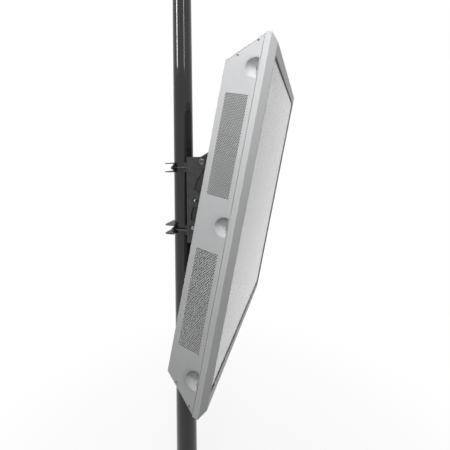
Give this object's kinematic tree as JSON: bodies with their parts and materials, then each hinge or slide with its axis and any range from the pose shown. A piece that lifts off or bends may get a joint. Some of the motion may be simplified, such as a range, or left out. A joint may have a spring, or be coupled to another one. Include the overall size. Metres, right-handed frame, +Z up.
{
  "type": "pole-mounted display enclosure",
  "caption": "Portrait flat-panel display enclosure with a bevelled hinged window frame, perforated side vents and a black tilting pole bracket.",
  "frame": {"origin": "on the axis of the pole that the clamps grip, midway between the two clamps", "axes": "+Z up along the pole, the window faces -Y and leans forward, +X to the right of someone facing +Y, with the door hinges on +X"},
  "size_m": [0.7848, 0.5417, 1.0612],
  "materials": {
    "bracket_black": "satin black powder coat",
    "saddle_black": "moulded black",
    "zinc": "bright zinc plate",
    "black_hardware": "black-plated fasteners",
    "shell_paint": "fine-textured silver-grey powder coat",
    "vent_paint": "the shell's powder coat on perforated sheet",
    "frame_paint": "smooth silver-grey satin coat",
    "inner_metal": "galvanised sheet",
    "filter_mesh": "layered expanded mesh",
    "seal_rubber": "matte",
    "window_glass": "anti-glare etched",
    "display_glass": "matte dark screen",
    "black_plastic": "fine-textured",
    "circuit_board": "solder mask"
  },
  "bodies": {
    "pole_mount": {"bracket_back_plate": "bracket_black", "bracket_cheek_left": "bracket_black", "bracket_cheek_right": "bracket_black", "front_saddle_upper": "saddle_black", "front_saddle_lower": "saddle_black", "rear_clamp_upper": "bracket_black", "rear_clamp_lower": "bracket_black", "clamp_bolts": "black_hardware", "clamp_nuts": "black_hardware", "clamp_washers": "black_hardware", "pivot_bolts": "zinc", "pivot_nuts": "black_hardware"},
    "enclosure": {"tilt_arm_left": "bracket_black", "tilt_arm_right": "bracket_black", "arm_cross_ties": "bracket_black", "lock_bolts": "zinc", "lock_nuts": "black_hardware", "guide_pins": "zinc", "arm_base_bolts": "zinc", "side_panel_left": "shell_paint", "side_panel_right": "shell_paint", "top_panel": "shell_paint", "bottom_panel": "shell_paint", "back_panel": "shell_paint", "backing_bars": "inner_metal", "landing_strips": "inner_metal", "recess_scoops": "shell_paint", "door_seal": "seal_rubber", "vent_upper_left": "vent_paint", "vent_lower_left": "vent_paint", "vent_upper_right": "vent_paint", "vent_lower_right": "vent_paint", "intake_filters": "filter_mesh", "fan_housings": "black_plastic", "display_chassis": "inner_metal", "display_panel": "display_glass", "display_bezel": "black_plastic", "display_rails": "inner_metal", "gear_plate": "inner_metal", "power_supply": "inner_metal", "control_board": "circuit_board", "terminal_block": "black_plastic", "cable_gland": "black_plastic", "shell_screws": "zinc", "hinge_leaves_shell": "shell_paint", "hinge_pins": "zinc"},
    "door": {"frame_stile_left": "frame_paint", "frame_stile_right": "frame_paint", "frame_rail_top": "frame_paint", "frame_rail_bottom": "frame_paint", "window_pane": "window_glass", "window_gasket": "seal_rubber", "pane_retainers": "inner_metal", "corner_keys": "inner_metal", "hinge_leaves_door": "shell_paint"},
    "latch_top": {"latch_top": "zinc"},
    "latch_middle": {"latch_middle": "zinc"},
    "latch_bottom": {"latch_bottom": "zinc"},
    "fan_rotor_left": {"fan_rotor_left": "black_plastic"},
    "fan_rotor_right": {"fan_rotor_right": "black_plastic"}
  },
  "joints": [
    {"name": "screen_tilt", "type": "hinge", "parent": "pole_mount", "child": "enclosure", "pos_m": [0, -0.1215, 0.162], "axis": [1, 0, 0], "range_deg": [-12.3, 2.7]},
    {"name": "door_swing", "type": "hinge", "parent": "enclosure", "child": "door", "pos_m": [0.3918, -0.33038, -0.01526], "axis": [0, -0.213, 0.977], "range_deg": [0, 100]},
    {"name": "latch_top_turn", "type": "hinge", "parent": "enclosure", "child": "latch_top", "pos_m": [-0.3795, -0.42085, 0.41843], "axis": [0, 0.977, 0.213], "range_deg": [0, 90]},
    {"name": "latch_middle_turn", "type": "hinge", "parent": "enclosure", "child": "latch_middle", "pos_m": [-0.3795, -0.32647, -0.0144], "axis": [0, 0.977, 0.213], "range_deg": [0, 90]},
    {"name": "latch_bottom_turn", "type": "hinge", "parent": "enclosure", "child": "latch_bottom", "pos_m": [-0.3795, -0.2321, -0.44724], "axis": [0, 0.977, 0.213], "range_deg": [0, 90]},
    {"name": "fan_spin_left", "type": "hinge", "parent": "enclosure", "child": "fan_rotor_left", "pos_m": [-0.377, -0.3321, 0.2123], "axis": [1, 0, 0], "continuous": true},
    {"name": "fan_spin_right", "type": "hinge", "parent": "enclosure", "child": "fan_rotor_right", "pos_m": [0.377, -0.3321, 0.2123], "axis": [1, 0, 0], "continuous": true}
  ]
}
